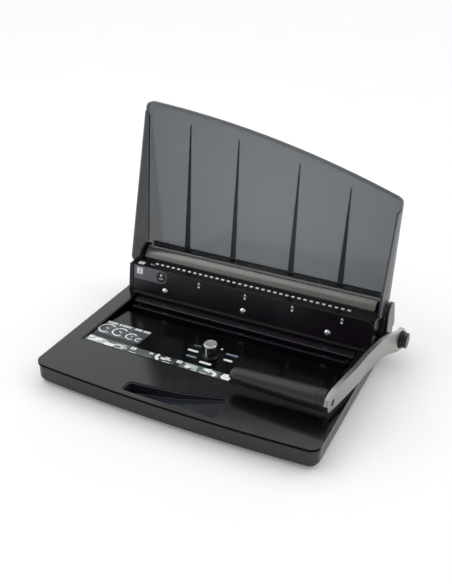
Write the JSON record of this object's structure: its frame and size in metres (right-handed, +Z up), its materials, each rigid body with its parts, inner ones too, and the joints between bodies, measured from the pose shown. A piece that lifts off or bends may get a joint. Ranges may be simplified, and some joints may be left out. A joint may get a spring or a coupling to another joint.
{
  "type": "comb binding machine",
  "caption": "Desktop punch and wire-binding machine with a flat base, a long side lever, a size dial and a hinged smoke-grey lid.",
  "frame": {"origin": "on the surface the feet stand on, straight below the middle of the hook row, at the middle foot's underside", "axes": "+X to the right along the hook row (the lever is on the +X side), +Y to the back, +Z up"},
  "size_m": [0.3979, 0.296, 0.282],
  "materials": {
    "deck_plastic": "semi-gloss black",
    "pan_plastic": "satin black",
    "bed_plastic": "high-gloss black",
    "recess_plastic": "satin blue-grey",
    "foot_rubber": "matt",
    "machine_steel": "ground",
    "fastener_steel": "bright",
    "bush_bronze": "sintered",
    "panel_paint": "fine-textured black",
    "housing_plastic": "semi-gloss black",
    "tower_plastic": "satin grey",
    "guide_paint": "satin warm grey",
    "hook_steel": "bright zinc",
    "inner_plastic": "moulded",
    "label_grey": "printed film",
    "print_white": "printed ink",
    "print_grey": "printed film",
    "dial_plastic": "semi-gloss black",
    "dial_chrome": "spun",
    "lid_smoke": "clear smoke grey",
    "arm_paint": "satin warm grey",
    "grip_plastic": "soft satin black",
    "knob_plastic": "satin black"
  },
  "bodies": {
    "base": {"base_pan": "pan_plastic", "deck_cover": "deck_plastic", "carry_recess": "recess_plastic", "bed_tray": "bed_plastic", "rubber_feet": "foot_rubber", "base_screws": "fastener_steel", "left_side_frame": "machine_steel", "right_side_frame": "machine_steel", "left_bush": "bush_bronze", "right_bush": "bush_bronze", "die_plate": "machine_steel", "punch_guide": "machine_steel", "paper_stop": "inner_plastic", "edge_stop": "inner_plastic", "wire_hooks": "hook_steel", "punch_front_panel": "panel_paint", "front_screws": "fastener_steel", "front_label": "label_grey", "panel_marks": "print_white", "punch_top_cover": "housing_plastic", "paper_guide": "guide_paint", "left_cheek": "housing_plastic", "right_cheek": "housing_plastic", "left_hinge_bracket": "housing_plastic", "right_hinge_bracket": "housing_plastic", "lid_pins": "fastener_steel", "left_tower": "tower_plastic", "right_tower": "tower_plastic", "rear_cover": "housing_plastic", "rear_screws": "fastener_steel", "fixed_jaw": "panel_paint", "size_chart": "print_grey", "instruction_strip": "print_grey", "dial_marks": "print_white"},
    "lid": {"lid": "lid_smoke"},
    "lever": {"drive_shaft": "machine_steel", "left_crank": "machine_steel", "right_crank": "machine_steel", "crank_pins": "machine_steel", "lever_arm": "arm_paint", "lever_collar": "knob_plastic", "lever_knob": "knob_plastic", "grip_rod": "machine_steel", "lever_grip": "grip_plastic", "grip_ring": "knob_plastic"},
    "punch": {"punch_pins": "machine_steel", "pressure_bar": "machine_steel"},
    "closer": {"closing_bar": "panel_paint", "closer_links": "machine_steel", "size_stop_plate": "machine_steel"},
    "dial": {"size_dial_body": "dial_plastic", "size_dial_cap": "dial_chrome", "dial_shaft": "machine_steel", "dial_stop_cam": "inner_plastic"},
    "tray": {"chip_tray": "pan_plastic"}
  },
  "joints": [
    {"name": "lid_hinge", "type": "hinge", "parent": "base", "child": "lid", "pos_m": [0, 0.033, 0.0775], "axis": [1, 0, 0], "range_deg": [0, 108.5]},
    {"name": "lever_hinge", "type": "hinge", "parent": "base", "child": "lever", "pos_m": [0, 0.022, 0.034], "axis": [1, 0, 0], "range_deg": [-70, 0]},
    {"name": "punch_slide", "type": "slide", "parent": "base", "child": "punch", "axis": [0, 1, 0], "range_m": [0, 0.01092]},
    {"name": "closer_slide", "type": "slide", "parent": "base", "child": "closer", "axis": [0, -1, 0], "range_m": [0, 0.01092]},
    {"name": "dial_turn", "type": "hinge", "parent": "base", "child": "dial", "pos_m": [0.0005, -0.111, 0.03], "axis": [0, 0, 1], "range_deg": [-150, 150]},
    {"name": "tray_slide", "type": "slide", "parent": "base", "child": "tray", "axis": [0, 1, 0], "range_m": [0, 0.07]}
  ],
  "couplings": [
    {"joint": "punch_slide", "follows": "lever_hinge", "m_per_rad": -0.00892},
    {"joint": "closer_slide", "follows": "lever_hinge", "m_per_rad": -0.00892}
  ]
}
